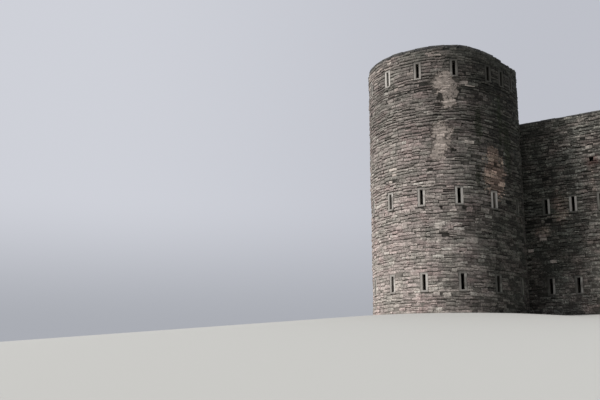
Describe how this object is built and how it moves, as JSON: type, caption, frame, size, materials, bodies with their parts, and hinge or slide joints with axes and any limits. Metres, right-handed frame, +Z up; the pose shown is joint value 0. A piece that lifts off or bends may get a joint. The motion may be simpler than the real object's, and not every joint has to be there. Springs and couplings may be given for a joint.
{
  "type": "round corner tower with adjoining wing",
  "caption": "Round stone corner tower of a small fort, hollow, with splayed rifle loopholes, domed floors and a low domed roof, joined to a lower vaulted wing of the same masonry.",
  "frame": {"origin": "on the round tower's axis at the level of its lowest footing", "axes": "+X along the wing's outer face, away from the tower; +Y from the outer face towards the courtyard; +Z up"},
  "size_m": [19.4855, 13.5055, 15.2401],
  "materials": {
    "tower_rubble": "coursed rubble limestone with weathered grey and pinkish stones, lime mortar joints and dark lichen",
    "wing_rubble": "coursed rubble limestone, darker and damper beside the tower",
    "dressed_stone": "sawn and tooled pale limestone, lightly stained",
    "coping_stone": "rough stone slabs, dark with lichen",
    "vault_masonry": "limewashed rubble vaulting with stone flags"
  },
  "bodies": {
    "root": {"tower_ground_wall_a": "tower_rubble", "tower_ground_wall_b": "tower_rubble", "tower_ground_wall_c": "tower_rubble", "tower_ground_wall_d": "tower_rubble", "tower_ground_wall_e": "tower_rubble", "tower_ground_wall_f": "tower_rubble", "tower_middle_wall_a": "tower_rubble", "tower_middle_wall_b": "tower_rubble", "tower_middle_wall_c": "tower_rubble", "tower_middle_wall_d": "tower_rubble", "tower_middle_wall_e": "tower_rubble", "tower_middle_wall_f": "tower_rubble", "tower_top_wall_a": "tower_rubble", "tower_top_wall_b": "tower_rubble", "tower_top_wall_c": "tower_rubble", "tower_top_wall_d": "tower_rubble", "tower_top_wall_e": "tower_rubble", "tower_top_wall_f": "tower_rubble", "passage_heads": "tower_rubble", "passage_thresholds": "dressed_stone", "tower_ground_floor": "vault_masonry", "tower_low_dome": "vault_masonry", "tower_high_dome": "vault_masonry", "tower_roof": "vault_masonry", "tower_coping": "coping_stone", "tower_jambs": "dressed_stone", "tower_lintels": "dressed_stone", "tower_sills": "dressed_stone", "wing_front_lower_wall": "wing_rubble", "wing_front_upper_wall": "wing_rubble", "wing_corner_lower_wall": "wing_rubble", "wing_corner_upper_wall": "wing_rubble", "court_wall_left": "wing_rubble", "court_wall_right": "wing_rubble", "court_wall_over_door": "wing_rubble", "court_upper_wall": "wing_rubble", "wing_end_lower_wall": "wing_rubble", "wing_end_upper_wall": "wing_rubble", "wing_ground_floor": "vault_masonry", "wing_first_floor": "vault_masonry", "wing_roof": "vault_masonry", "wing_coping": "coping_stone", "wing_jambs": "dressed_stone", "wing_lintels": "dressed_stone", "wing_sills": "dressed_stone"}
  },
  "joints": []
}
